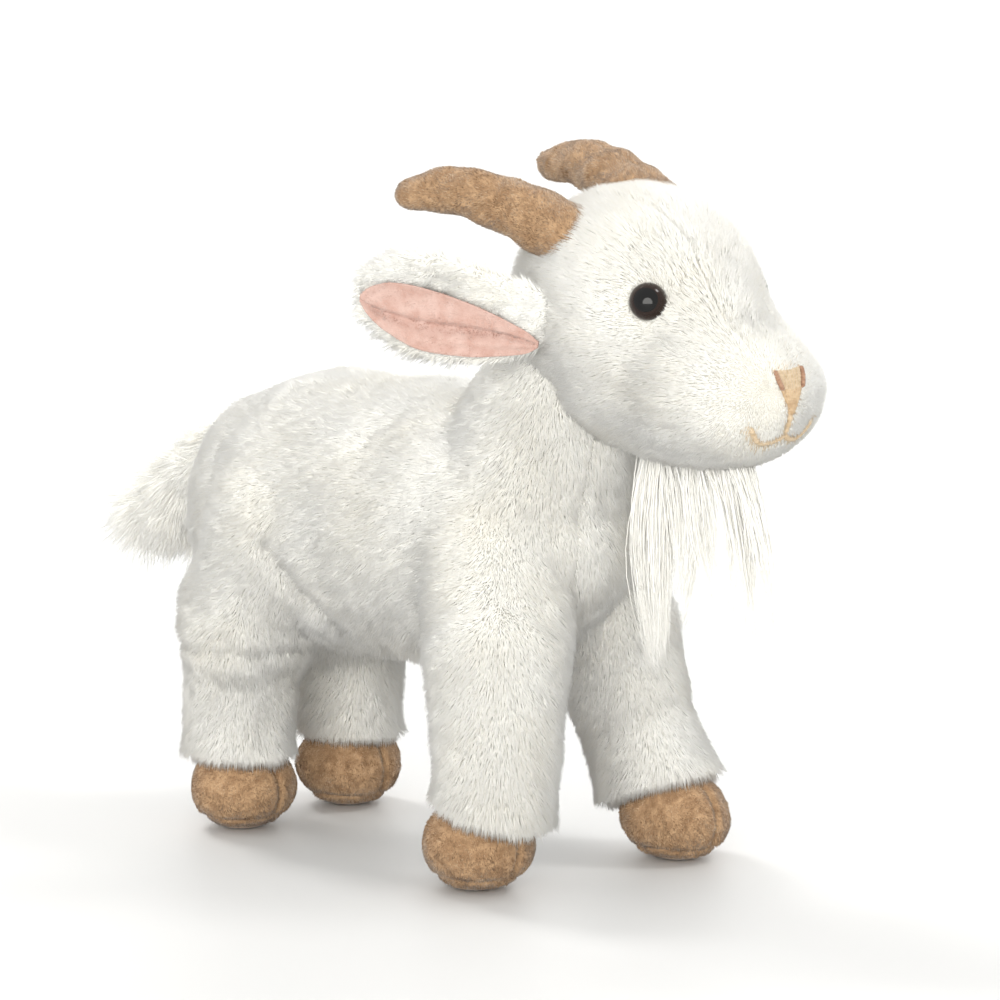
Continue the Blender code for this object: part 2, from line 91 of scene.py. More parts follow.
# Head
HEAD = [(0, -76, 182, 34), (0, -88, 181, 37.5), (0, -103, 171, 31), (0, -114, 164, 26.5), (0, -127, 159, 23)]
JOWLS = [(0, -88, 164, 27), (0, -108, 158, 24), (0, -127.5, 157.5, 21.2)]
JOWL_WIDTH = 1.18
HEAD_PIVOT = (0, -66, 170)
HEAD_AXIS = (0, -0.476, 0.879)
NECK_BEND = (-44.0, -8.0)
FOREHEAD_HALF_WIDTH = 11.0
FOREHEAD_BOTTOM = 169.0
BRIDGE = [(3, -114, 207), (5, -126, 190), (3, -136, 176)]
BRIDGE_DIP = 2.6
MUZZLE_TIP = (0, -146, 158)
MUZZLE_FILL = 1.1
MUZZLE_WIDENS = 0.2
MUZZLE_BLUNTS = 0.2

# Eyes; the hollow round each is the x of its middle, its depth and its width
EYE_HEIGHT = 185.8
EYE_Y = -107.2
EYE_RADIUS = 5.7
EYE_BULGE = 4.8
EYE_LIFT = 1.6
PUPIL_SHARE = 0.66
EYE_HOLLOW = (26.0, 5.2, 13.0)

# Nose and mouth, as (x, z) on the front of the muzzle
NOSE_ARM = [(-7.0, 167.0), (-5.4, 163.0), (-2.9, 158.0), (0, 154.2)]
NOSE_TOP = 168.0
NOSE_BOTTOM = 153.0
NOSE_HALF_WIDTH = (1.2, 8.6)
SATIN_ROWS = 14
NOSTRIL = [(-7.0, 166.5), (-6.2, 163.5), (-4.6, 160.5)]
PHILTRUM = [(0, 154.5), (0, 146.6)]
MOUTH_SIDE = [(0, 146.6), (-3.5, 145.2), (-8.0, 144.8), (-11.5, 146.5), (-14.5, 150)]

# Horns: the left one is sewn a little higher
HORN = [(-18, -77, 194, 12), (-20.5, -71, 203.5, 11.3), (-26, -50, 212.5, 9.3), (-30, -33, 215.5, 8),
        (-33.5, -19.5, 213.5, 5.8)]
HORN_LIFT_LEFT = 5.0

# Ears, in their own frame: +Y runs to the tip, +X upwards across, +Z out of the lining. The sections are
# (y, middle across, half-width), and the crease runs between two y at those shares of the half-width.
EAR_ROOT = (-33.0, -75.0, 180)
EAR_TIP = (-61.0, -23.0, 187)
EAR_FACING = (-0.80, -0.50, -0.22)
EAR_SECTIONS = [(0, -1, 10.0), (14, -2, 15.5), (30, -0.5, 18.0), (44, 0, 16.5), (54, 0, 10.5)]
EAR_THICKNESS = 5.0
EAR_CUP = 5.0
LINING_SECTIONS = [(1, -8, 1.0), (6, -7.8, 4.0), (20, -6.2, 7.3), (36, -4.5, 9.2), (47, -2.6, 7.8),
                   (54, -1.8, 4.6), (57.5, -1.5, 1.0)]
LINING_HEIGHT = 4.5
CREASE = ((10, 50), (0.1, -0.45))

# Legs: (hip, knee, shin, ankle), hoof centre, the hem's height and its slope to the front in degrees
LEG_STANCES = {
    "front_right": ([(-32, -54, 74, 23), (-35, -57, 53, 21.5), (-36.5, -58, 34, 20.5), (-37, -55.5, 18, 21)],
                    (-37, -51), 25.0, 14.0),
    "front_left": ([(32, -47, 74, 22), (34, -49, 56, 19.5), (36, -58, 34, 20), (37, -65, 18, 21)],
                   (37, -69), 22.5, -20.0),
    "rear_right": ([(-25, 62, 75, 24), (-25.5, 64, 54, 21), (-25.5, 65, 34, 20), (-25.5, 65, 18, 21)],
                   (-25, 64), 23.0, 0.0),
    "rear_left": ([(25, 61, 75, 23.5), (25, 63, 54, 20.5), (25, 64, 34, 19.5), (25, 64, 18, 20.5)],
                  (25, 64), 23.0, 0.0),
}
LEG_WIDTH = {"front": 0.95, "rear": 0.85}
LEG_TOP = 70.0
LEG_BEND = (68.0, 38.0)
HEM_FRINGE = 4.5
HOOF_RADIUS = 17.2
HOOF_HALF_HEIGHT = 14.9
HOOF_CENTRE_HEIGHT = 13.6
SOLE_SEAM = 4.5

# Tail and beard
TAIL = [(0, 78, 124, 19), (0, 100, 113.5, 18), (0, 117, 102, 17.5), (0, 134, 94, 11.5)]
TAIL_INSET = 8.5

# Locks of the beard: root y, how far it bows to the back halfway down, tip (x, y, z), number of hairs
LOCKS = [
    (-91, 6.0, (-2.0, -93.5, 64), 190),
    (-92, 4.0, (1.0, -89.5, 73), 130),
    (-95, 2.5, (-3.0, -97, 66), 190),
    (-95.5, 0.0, (2.5, -95, 87), 120),
    (-97, -1.0, (-1.5, -103.5, 90), 90),
    (-102.5, -5.0, (1.5, -100, 77), 110),
    (-106, 2.5, (-1.0, -116, 87), 80),
    (-109, 0.0, (2.0, -113, 97), 90),
    (-112.5, -5.0, (1.5, -119.5, 87), 80),
    (-117.5, -1.5, (-1.0, -133, 77), 100),
    (-119, -4.0, (1.0, -127, 83), 80),
    (-122, -3.0, (0.5, -133, 96), 90),
    (-124, -3.0, (-1.0, -139, 84), 130),
]
BEARD_TOP = 138.0
BEARD_SEGMENTS = 9

# Strands on each square millimetre of skin
BODY_DENSITY = 7.0
HEAD_DENSITY = 7.5
EAR_DENSITY = 7.5
LINING_DENSITY = 7.0
NAP_DENSITY = 6.0
TAIL_DENSITY = 5.0

# Lengths of the pile and widths of its strands
BODY_PILE = 5.2
MUZZLE_PILE = 2.0
CHEEK_PILE_EXTRA = 3.4
EAR_PILE = 5.6
LINING_PILE = 1.0
HORN_NAP = 1.5
HOOF_NAP = 1.4
TAIL_PILE = 11.0
TAIL_TIP_EXTRA = 6.5
BODY_STRAND = 0.41
HEAD_STRAND = 0.37
EAR_STRAND = 0.4
FINE_STRAND = 0.36
TAIL_STRAND = 0.42
BEARD_STRANDS = (0.24, 0.42)
COAT_TOUSLE = 0.22

# Seeds of the random strands; those of ears, horns and hooves rise from one to the next
SEEDS = {"body": 11, "head": 31, "horn": 50, "hoof": 120, "ear": 200, "lining": 230, "tail": 300,
         "beard": 400}

# A choice of all the strands of a coat
EVERY_STRAND = slice(None)

# Tints of the strands, as (red, green, blue), from the darkest to the palest
WHITE_TINTS = [(0.95, 0.925, 0.86), (0.97, 0.955, 0.905), (0.983, 0.973, 0.935), (0.988, 0.982, 0.955)]
BROWN_TINTS = [(0.18, 0.10, 0.045), (0.29, 0.175, 0.09), (0.41, 0.26, 0.145), (0.56, 0.40, 0.26)]
TAN_TINTS = [(0.42, 0.27, 0.14), (0.54, 0.38, 0.23), (0.64, 0.49, 0.33), (0.74, 0.62, 0.46)]
PINK_TINTS = [(0.34, 0.17, 0.13), (0.53, 0.35, 0.295), (0.585, 0.425, 0.37), (0.63, 0.50, 0.45)]

# Light: the surroundings, the floor, and each lamp's azimuth from the camera's, elevation and spread in
# degrees, strength and colour
WORLD_COLOUR = (1.0, 1.0, 0.99, 1)
WORLD_STRENGTH = 1.0
FLOOR_COLOUR = (0.615, 0.615, 0.613, 1)
LAMPS = {
    "lamp_right": (90, 55, 14, 0.21, (1, 0.992, 0.97)),
    "lamp_behind": (-142, 53, 14, 0.34, (1, 0.992, 0.97)),
    "lamp_far_side": (165, 6, 50, 0.45, (1, 0.992, 0.97)),
    "lamp_front": (-10, 5, 50, 1.12, (1, 0.985, 0.94)),
}


# ---- numbers

def unit(vectors):
    return vectors / np.maximum(np.linalg.norm(vectors, axis=1, keepdims=True), 1e-9)


def smoothstep(values):
    share = np.clip(values, 0, 1)
    return share * share * (3 - 2 * share)


def ripple(points, size, seed):
    """Smooth noise from about -1 to 1 at each point, with lumps of about that size."""
    rng = np.random.default_rng(seed)
    total = np.zeros(len(points))
    for _ in range(9):
        direction = rng.normal(size=3)
        wave = 2 * math.pi / (size * rng.uniform(0.7, 1.7))
        total += np.sin(points @ (direction / np.linalg.norm(direction)) * wave + rng.uniform(0, 2 * math.pi))
    return total / 3


def ripples(points, size, seed):
    """Three independent ripples as a vector at each point."""
    return np.stack([ripple(points, size, seed + turn) for turn in range(3)], axis=1)


def smooth_line(points, steps=8):
    """Points on a Catmull-Rom line through the given ones, all their numbers smoothed alike."""
    rows = [np.array(p, float) for p in points]
    rows = [2 * rows[0] - rows[1]] + rows + [2 * rows[-1] - rows[-2]]
    line = []
    for before, start, end, after in zip(rows, rows[1:], rows[2:], rows[3:]):
        for step in range(steps):
            t = step / steps
            line.append(0.5 * (2 * start + (end - before) * t
                               + (2 * before - 5 * start + 4 * end - after) * t * t
                               + (3 * start - before - 3 * end + after) * t ** 3))
    line.append(rows[-2])
    return np.array(line)


def distance_to_line(points, line):
    """How far each point is from the nearest stretch of the line."""
    nearest = np.full(len(points), 1e9)
    for start, end in zip(line[:-1], line[1:]):
        along = end - start
        share = np.clip((points - start) @ along / (along @ along), 0, 1)
        nearest = np.minimum(nearest, np.linalg.norm(points - start - share[:, None] * along, axis=1))
    return nearest


# ---- soft skins

def chain(points, inset, stretch=(1, 1, 1)):
    """Balls (x, y, z, three radii) along a line of (x, y, z, radius), drawn in by the inset."""
    balls = []
    for x, y, z, radius in smooth_line(points):
        balls.append((x, y, z, *(max(radius * side - inset, 1.0) for side in stretch)))
    return balls


def finished(shape, name):
    """The shape as a mesh; the shape itself is freed."""
    mesh = bpy.data.meshes.new(name)
    shape.to_mesh(mesh)
    shape.free()
    return mesh


def new_object(mesh, name="on_the_bench"):
    item = bpy.data.objects.new(name, mesh)
    bpy.context.scene.collection.objects.link(item)
    return item


def evaluated(item):
    """The object's mesh with its modifiers on; the object is removed."""
    bpy.context.view_layer.update()
    graph = bpy.context.evaluated_depsgraph_get()
    mesh = bpy.data.meshes.new_from_object(item.evaluated_get(graph))
    bpy.data.objects.remove(item, do_unlink=True)
    return mesh


def fused(balls, voxel, relax):
    """One smooth closed skin round all the balls."""
    shape = bmesh.new()
    for x, y, z, *radii in balls:
        ball = Matrix.Translation((x, y, z)) @ Matrix.Diagonal((*radii, 1))
        bmesh.ops.create_icosphere(shape, subdivisions=4, radius=1, matrix=ball)
    item = new_object(finished(shape, "skin"))
    skin = item.modifiers.new("one_skin", 'REMESH')
    skin.mode = 'VOXEL'
    skin.voxel_size = voxel
    ease = item.modifiers.new("ease", 'SMOOTH')
    ease.factor = 0.5
    ease.iterations = relax
    return evaluated(item)


def points_of(mesh):
    """The mesh's points and their normals."""
    places = np.empty(len(mesh.vertices) * 3)
    normals = np.empty(len(mesh.vertices) * 3)
    mesh.vertices.foreach_get("co", places)
    mesh.vertices.foreach_get("normal", normals)
    return places.reshape(-1, 3), normals.reshape(-1, 3)


def moved(mesh, places):
    mesh.vertices.foreach_set("co", places.ravel())
    mesh.update()
    return mesh


def pressed(mesh, depth_at):
    """The mesh pressed in along its normals by what depth_at gives at each point."""
    places, normals = points_of(mesh)
    return moved(mesh, places - normals * depth_at(places)[:, None])


def inside_any(points, balls):
    """Which points lie inside one of the balls."""
    inside = np.zeros(len(points), bool)
    for x, y, z, *radii in balls:
        inside |= (((points - (x, y, z)) / np.array(radii)) ** 2).sum(axis=1) < 1
    return inside


# ---- materials

def new_material(name, roughness, sheen=0.0):
    material = bpy.data.materials.new(name)
    material.use_nodes = True
    shader = material.node_tree.nodes["Principled BSDF"]
    shader.inputs["Roughness"].default_value = roughness
    shader.inputs["Sheen Weight"].default_value = sheen
    shader.inputs["Sheen Roughness"].default_value = 0.4
    return material, shader


def tinted(name, tints, sheen=0.0):
    """One plain material for each tint of a coat of strands."""
    made = []
    for number, tint in enumerate(tints):
        material, shader = new_material(f"{name}_{number}", 0.85, sheen)
        shader.inputs["Base Color"].default_value = (*tint, 1)
        made.append(material)
    return made


def mottled(name, dark, pale, size, roughness, bump):
    """A cloth whose colour wanders between two, with a fine bump of threads."""
    material, shader = new_material(name, roughness, sheen=0.3)
    tree = material.node_tree
    where = tree.nodes.new("ShaderNodeTexCoord")
    patches = tree.nodes.new("ShaderNodeTexNoise")
    patches.inputs["Scale"].default_value = 1 / (size * MM)
    patches.inputs["Detail"].default_value = 5
    ramp = tree.nodes.new("ShaderNodeValToRGB")
    ramp.color_ramp.elements[0].position = 0.35
    ramp.color_ramp.elements[0].color = (*dark, 1)
    ramp.color_ramp.elements[1].position = 0.65
    ramp.color_ramp.elements[1].color = (*pale, 1)
    threads = tree.nodes.new("ShaderNodeTexNoise")
    threads.inputs["Scale"].default_value = 1 / (0.5 * MM)
    relief = tree.nodes.new("ShaderNodeBump")
    relief.inputs["Strength"].default_value = bump
    relief.inputs["Distance"].default_value = 0.4 * MM
    tree.links.new(where.outputs["Object"], patches.inputs["Vector"])
    tree.links.new(where.outputs["Object"], threads.inputs["Vector"])
    tree.links.new(patches.outputs["Fac"], ramp.inputs["Fac"])
    tree.links.new(ramp.outputs["Color"], shader.inputs["Base Color"])
    tree.links.new(threads.outputs["Fac"], relief.inputs["Height"])
    tree.links.new(relief.outputs["Normal"], shader.inputs["Normal"])
    return material


def gloss(name, colour, roughness):
    material, shader = new_material(name, roughness)
    shader.inputs["Base Color"].default_value = (*colour, 1)
    shader.inputs["Specular IOR Level"].default_value = 0.3
    return material


WHITE_STRANDS = tinted("white_strand", WHITE_TINTS)
BROWN_STRANDS = tinted("brown_strand", BROWN_TINTS, sheen=0.2)
TAN_STRANDS = tinted("tan_strand", TAN_TINTS)
PINK_STRANDS = tinted("pink_strand", PINK_TINTS, sheen=0.2)
# The head's backing cloth is greyer than the body's: painted shade for the shadow inside the pile, which also
# tones down the lit muzzle.
HEAD_GROUND_PAINTED_SHADE = mottled("head_ground_painted_shade", (0.60, 0.58, 0.53), (0.70, 0.68, 0.63), 6.0, 0.95, 0.5)
WHITE_GROUND = mottled("white_ground", (0.94, 0.92, 0.87), (0.97, 0.955, 0.92), 6.0, 0.95, 0.5)
BROWN_GROUND = mottled("brown_ground", (0.26, 0.15, 0.075), (0.44, 0.28, 0.155), 3.0, 0.9, 0.6)
PINK_GROUND = mottled("pink_ground", (0.48, 0.295, 0.245), (0.57, 0.395, 0.345), 4.0, 0.9, 0.6)
TAN_THREAD = mottled("tan_thread", (0.42, 0.28, 0.16), (0.58, 0.43, 0.27), 1.2, 0.8, 0.8)
MOUTH_THREAD = mottled("mouth_thread", (0.45, 0.33, 0.20), (0.60, 0.47, 0.32), 1.2, 0.8, 0.8)
NOSTRIL_THREAD = mottled("nostril_thread", (0.26, 0.14, 0.085), (0.42, 0.25, 0.16), 1.2, 0.8, 0.8)
EYE_BLACK = gloss("eye_black", (0.004, 0.004, 0.004), 0.08)
EYE_BROWN = gloss("eye_brown", (0.016, 0.007, 0.004), 0.15)


# ---- pieces

def piece(name, mesh, materials):
    """A finished object in metres, with its materials, shaded smooth."""
    mesh.transform(Matrix.Scale(MM, 4))
    mesh.name = name
    item = new_object(mesh, name)
    for material in materials:
        mesh.materials.append(material)
    mesh.shade_smooth()
    return item


def on_body(item, holder):
    """The piece rides on a body; if the holder is (body, body, start, end) it stays where it is, unattached.
    """
    if isinstance(holder, str):
        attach(item, holder)
        return
    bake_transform(item)


def stuffed(item, holder, replaced):
    """The piece is placed as on_body places it and stands for the replaced nodes, which are hidden."""
    on_body(item, holder)
    if replaced:
        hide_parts(*replaced)


def part_of_mesh(mesh, keep):
    """A copy holding the faces whose middles are kept; keep is a test on an array of points."""
    middles = np.empty(len(mesh.polygons) * 3)
    mesh.polygons.foreach_get("center", middles)
    kept = keep(middles.reshape(-1, 3))
    shape = bmesh.new()
    shape.from_mesh(mesh)
    shape.faces.ensure_lookup_table()
    bmesh.ops.delete(shape, geom=[shape.faces[i] for i in np.flatnonzero(~kept)], context='FACES')
    return finished(shape, "part")


# ---- strands

class Coat:
    """Strands rooted on a skin. Each array has one row for each strand."""

    def __init__(self, skin, per_square_mm, seed):
        self.rng = np.random.default_rng(seed)
        self.seed = seed
        places, normals = points_of(skin)
        skin.calc_loop_triangles()
        corners = np.empty(len(skin.loop_triangles) * 3, int)
        skin.loop_triangles.foreach_get("vertices", corners)
        corners = corners.reshape(-1, 3)
        a, b, c = (places[corners[:, i]] for i in range(3))
        areas = np.linalg.norm(np.cross(b - a, c - a), axis=1) / 2
        count = int(areas.sum() * per_square_mm)
        chosen = np.searchsorted(np.cumsum(areas), self.rng.uniform(0, areas.sum(), count))
        chosen = np.minimum(chosen, len(areas) - 1)
        u, v = self.rng.uniform(size=count), self.rng.uniform(size=count)
        over = u + v > 1
        u[over], v[over] = 1 - u[over], 1 - v[over]
        shares = np.stack([1 - u - v, u, v], axis=1)[:, :, None]
        self.roots = (places[corners[chosen]] * shares).sum(axis=1)
        self.normals = unit((normals[corners[chosen]] * shares).sum(axis=1))
        self.tint = None

    def keep(self, kept):
        for name in ("roots", "normals", "lengths", "directions", "widths", "tint"):
            rows = getattr(self, name, None)
            if rows is not None:
                setattr(self, name, rows[kept])

    def comb(self, way, lengths, lift, tousle, width):
        """Lays the strands along the way, lifted off the skin, gathered in tufts of three sizes."""
        normals = self.normals
        tufts = (ripples(self.roots, 22, self.seed) * 0.5 + ripples(self.roots, 9, self.seed + 5) * 0.7
                 + ripples(self.roots, 3.5, self.seed + 9) * 0.7)
        way = way + (tufts + self.rng.normal(size=way.shape) * 0.35) * tousle
        flat = way - normals * (way * normals).sum(axis=1, keepdims=True)
        size = np.linalg.norm(flat, axis=1, keepdims=True)
        flat = flat / np.maximum(size, 1)
        self.directions = unit(normals * np.reshape(lift, (-1, 1)) + flat)
        self.lengths = lengths * self.rng.uniform(0.72, 1.06, len(normals))
        self.widths = width * self.rng.uniform(0.75, 1.2, len(normals))

    def shade(self, size):
        """Tints from the noise of the coat and of each strand."""
        count = len(self.roots)
        wander = ripple(self.roots, size, self.seed + 20) * 0.6 + self.rng.normal(size=count) * 0.8
        self.tint = np.digitize(wander, (-1.3, -0.3, 0.7))

    def spines(self, segments, droop):
        """Points along each strand, its tip turned by the droop vector."""
        shares = np.linspace(0, 1, segments + 1)
        start = self.roots - self.normals * 0.4
        lines = start[:, None] + self.directions[:, None] * (self.lengths[:, None] * shares)[:, :, None]
        sag = np.asarray(droop)[None, None] * (self.lengths[:, None] * shares ** 2)[:, :, None]
        return lines + sag


def strand_mesh(lines, widths, tints):
    """A closed three-sided strand round each line, thinning to a point."""
    count, rings = len(lines), lines.shape[1] - 1
    run = unit(lines[:, -1] - lines[:, 0])
    helper = np.where(np.abs(run[:, 2:3]) < 0.8, np.array([[0, 0, 1.0]]), np.array([[1.0, 0, 0]]))
    side = unit(np.cross(run, helper))
    other = np.cross(run, side)
    points = np.empty((count, rings * 3 + 1, 3))
    for ring in range(rings):
        radius = widths * 0.5 * (1 - ring / rings) ** 0.7
        for corner in range(3):
            angle = 2 * math.pi * corner / 3
            around = side * math.cos(angle) + other * math.sin(angle)
            points[:, ring * 3 + corner] = lines[:, ring] + around * radius[:, None]
    points[:, -1] = lines[:, -1]

    triangles = [(0, 2, 1)]
    for ring in range(rings - 1):
        for corner in range(3):
            low, high = ring * 3 + corner, ring * 3 + (corner + 1) % 3
            triangles += [(low, high, high + 3), (low, high + 3, low + 3)]
    for corner in range(3):
        triangles.append(((rings - 1) * 3 + corner, (rings - 1) * 3 + (corner + 1) % 3, rings * 3))
    faces = np.array(triangles)[None] + (np.arange(count) * (rings * 3 + 1))[:, None, None]

    mesh = bpy.data.meshes.new("strands")
    mesh.vertices.add(points.shape[0] * points.shape[1])
    mesh.vertices.foreach_set("co", points.ravel())
    mesh.loops.add(faces.size)
    mesh.loops.foreach_set("vertex_index", faces.ravel())
    mesh.polygons.add(faces.shape[0] * faces.shape[1])
    mesh.polygons.foreach_set("loop_start", np.arange(0, faces.size, 3))
    mesh.polygons.foreach_set("material_index", np.repeat(tints, faces.shape[1]).astype(np.int32))
    mesh.update(calc_edges=True)
    return mesh


def fur_pieces(name, coat, chosen, holder, materials, segments=1, droop=(0, 0, 0)):
    """Makes the chosen strands of a coat into as many pieces as their triangles need."""
    rows = np.arange(len(coat.roots))[chosen]
    rows = rows[np.argsort(coat.roots[rows, 1], kind='stable')]
    each = 6 * (segments - 1) + 4
    parts = max(1, math.ceil(len(rows) * each / TRIANGLES_PER_PIECE))
    lines = coat.spines(segments, droop)
    for number, share in enumerate(np.array_split(rows, parts)):
        mesh = strand_mesh(lines[share], coat.widths[share], coat.tint[share])
        item = piece(f"{name}_{number + 1}", mesh, materials)
        on_body(item, holder)


# ---- body and legs

def neck_height(points):
    """How far up the neck's turning axis each point is, from the head's pivot."""
    return (points - np.array(HEAD_PIVOT)) @ np.array(HEAD_AXIS)


def leg_holder(name):
    x, y = LEG_STANCES[name][0][0][:2]
    return ("torso", f"leg_{name}", (x, y, LEG_BEND[0]), (x, y, LEG_BEND[1]))


def neck_holder():
    pivot, axis = Vector(HEAD_PIVOT), Vector(HEAD_AXIS)
    return ("torso", "head", pivot + axis * NECK_BEND[0], pivot + axis * NECK_BEND[1])


def leg_balls(name, inset):
    width = LEG_WIDTH[name.split("_")[0]]
    return chain(LEG_STANCES[name][0], inset, (width, 1, 1))


def body_balls(inset):
    balls = chain(TRUNK, inset, (TRUNK_WIDTH, 1, 1)) + chain(NECK, inset)
    for line in STUFFING:
        balls += chain(line, inset)
    for name in LEG_STANCES:
        balls += leg_balls(name, inset)
    return balls


def head_balls(inset):
    """The head's balls: the pile is shorter on the muzzle, so its skin lies further out there."""
    balls = []
    for x, y, z, *radii in chain(HEAD, inset) + chain(JOWLS, inset, (JOWL_WIDTH, 1, 1)):
        near = smoothstep((-y - 100) / 22)
        wide, deep, tall = (radius + MUZZLE_FILL * near for radius in radii)
        balls.append((x, y, z, wide * (1 + MUZZLE_WIDENS * near), deep * (1 - MUZZLE_BLUNTS * near), tall))
    return balls


def on_leg(points, name):
    """Which points belong to that leg."""
    hip = np.array(LEG_STANCES[name][0][0])
    quarter = (np.sign(points[:, 0]) == np.sign(hip[0])) & (np.sign(points[:, 1]) == np.sign(hip[1]))
    near = np.linalg.norm(points[:, :2] - hip[:2], axis=1) < hip[3] + 4
    return quarter & ((near & (points[:, 2] < LEG_TOP)) | (points[:, 2] < 56))


def body_regions():
    """Tests that split the body's points between the pieces, with what each piece rides on."""
    def legs(points):
        return np.any([on_leg(points, name) for name in LEG_STANCES], axis=0)

    def neck(points):
        return (neck_height(points) > NECK_BEND[0]) & (points[:, 1] < -20)

    def torso(points):
        return ~legs(points) & ~neck(points)

    regions = {
        "body_right": (lambda points: torso(points) & (points[:, 0] < 0), "torso"),
        "body_left": (lambda points: torso(points) & (points[:, 0] >= 0), "torso"),
        "neck": (lambda points: neck(points) & ~legs(points), neck_holder()),
    }
    for name in LEG_STANCES:
        regions[f"leg_{name}"] = (lambda points, name=name: on_leg(points, name), leg_holder(name))
    return regions


def gusset_nearness(points):
    """How close each point is to the seams down the chest and along the belly, from 0 to 1."""
    (low_y, low_z), (high_y, high_z) = THROAT_LINE
    throat = low_y + (high_y - low_y) * (points[:, 2] - low_z) / (high_z - low_z)
    strip = (points[:, 1] < throat) | (points[:, 2] < GUSSET_TOP)
    near = np.exp(-((np.abs(points[:, 0]) - GUSSET_HALF_WIDTH) / 1.3) ** 2)
    return near * strip * smoothstep((points[:, 2] - 58) / 8)


def fold_depth(points):
    flat = points * (0, 1, 1)
    depth = np.zeros(len(points))
    for line, deepest, width in FOLDS:
        near = distance_to_line(flat, [np.array((0, y, z), float) for y, z in line])
        depth += deepest * np.exp(-(near / width) ** 2)
    return depth * smoothstep((np.abs(points[:, 0]) - 16) / 10)


def hem_plane(name):
    """A point on the leg's hem and the hem's normal, pointing down."""
    _, (x, y), height, slope = LEG_STANCES[name]
    lean = math.radians(slope)
    return np.array((x, y, height)), np.array((0, math.sin(lean), -math.cos(lean)))


def body_skin():
    mesh = fused(body_balls(SKIN_INSET), 1.7, 8)
    pressed(mesh, lambda points: fold_depth(points) + gusset_nearness(points) * 1.0
            + ripple(points, 30, 3) * 0.45)
    for name in LEG_STANCES:
        mesh = cut_hem(mesh, name)
    return mesh


def cut_hem(mesh, name):
    """The skin cut off above one leg's hem, leaving room for the fringe."""
    centre, down = hem_plane(name)
    centre = centre - down * HEM_FRINGE
    shape = bmesh.new()
    shape.from_mesh(mesh)
    x, y = LEG_STANCES[name][1]
    near = [face for face in shape.faces if face.calc_center_median().z < 50
            and face.calc_center_median().x * x > 0 and face.calc_center_median().y * y > 0]
    geometry = near + list(dict.fromkeys(edge for face in near for edge in face.edges))
    geometry += list(dict.fromkeys(vertex for face in near for vertex in face.verts))
    cut = bmesh.ops.bisect_plane(shape, geom=geometry, plane_co=centre, plane_no=down, clear_outer=True)
    rim = [item for item in cut["geom_cut"] if isinstance(item, bmesh.types.BMEdge)]
    bmesh.ops.holes_fill(shape, edges=rim)
    bmesh.ops.triangulate(shape, faces=[face for face in shape.faces if len(face.verts) > 4])
    shape.to_mesh(mesh)
    shape.free()
    mesh.update()
    return mesh


def add_body():
    skin = body_skin()
    replaced = {
        "body_right": ("body_side_right", "body_filling", "belly_gusset"),
        "body_left": ("body_side_left",),
    }
    for name in LEG_STANCES:
        replaced[f"leg_{name}"] = (f"leg_{name}_cover", f"leg_{name}_filling")
    regions = body_regions()
    for name, (test, holder) in regions.items():
        ground = piece(f"{name}_cloth", part_of_mesh(skin, test), [WHITE_GROUND])
        stuffed(ground, holder, replaced.get(name))

    coat = body_coat(skin)
    for name, (test, holder) in regions.items():
        fur_pieces(f"{name}_fur", coat, test(coat.roots), holder, WHITE_STRANDS,
                   droop=(0, 0, -0.08))


def body_coat(skin):
    """The body's pile, combed back along the flanks and down the chest and legs, longer at the hems."""
    coat = Coat(skin, BODY_DENSITY, SEEDS["body"])
    coat.keep(~inside_any(coat.roots, head_balls(SKIN_INSET + 1.5)))
    coat.keep(coat.normals[:, 2] > -0.97)
    points = coat.roots
    low = smoothstep((82 - points[:, 2]) / 22)
    chest = smoothstep((-40 - points[:, 1]) / 25) * (1 - low)
    way = np.zeros_like(points)
    ahead = np.maximum(chest, smoothstep(-coat.normals[:, 1] * 1.5))
    way[:, 1] = 0.85 * (1 - low) * (1 - ahead)
    way[:, 2] = -0.45 - 0.5 * low - 0.6 * ahead
    seam = gusset_nearness(points)
    way[:, 0] += np.sign(points[:, 0]) * np.sign(np.abs(points[:, 0]) - GUSSET_HALF_WIDTH) * seam * 0.5
    lengths = BODY_PILE * (1 - 0.3 * seam) * (1 - 0.08 * ripple(points, 16, 77))
    for name in LEG_STANCES:
        centre, down = hem_plane(name)
        above = -((points - centre) @ down)
        fringe = on_leg(points, name) * smoothstep((HEM_FRINGE + 9 - above) / 8)
        way[:, 2] -= fringe * 1.5
        lengths = lengths * (1 + 0.25 * fringe)
    lift = 1.0 - 0.5 * np.clip(coat.normals[:, 2], 0, 1)
    coat.comb(way, lengths, lift, COAT_TOUSLE, BODY_STRAND)
    coat.shade(26)
    return coat


# ---- head

def front_line(tree, outline):
    """Where an outline of (x, z) lies on the front of the muzzle: points and normals."""
    places, normals = [], []
    for x, z in smooth_line(outline, 6):
        place, normal, _, _ = tree.ray_cast(Vector((x, -250, z)), Vector((0, 1, 0)))
        places.append(place)
        normals.append(normal)
    return np.array(places), np.array(normals)


def both_sides(outline):
    return [outline, [(-x, z) for x, z in outline]]


def eye_place(tree, side):
    """The matrix of an eye: its Z axis points out of the head, its origin is on the skin."""
    sign = -1 if side == "right" else 1
    normals = Vector()
    for y_step, z_step in ((0, 0), (-6, 0), (6, 0), (0, -6), (0, 6)):
        start = Vector((sign * 80, EYE_Y + y_step, EYE_HEIGHT + z_step))
        place, normal, _, _ = tree.ray_cast(start, Vector((-sign, 0, 0)))
        normals += normal
        if y_step == z_step == 0:
            centre = place
    turn = normals.normalized().to_track_quat('Z', 'Y').to_matrix().to_4x4()
    return Matrix.Translation(centre) @ turn


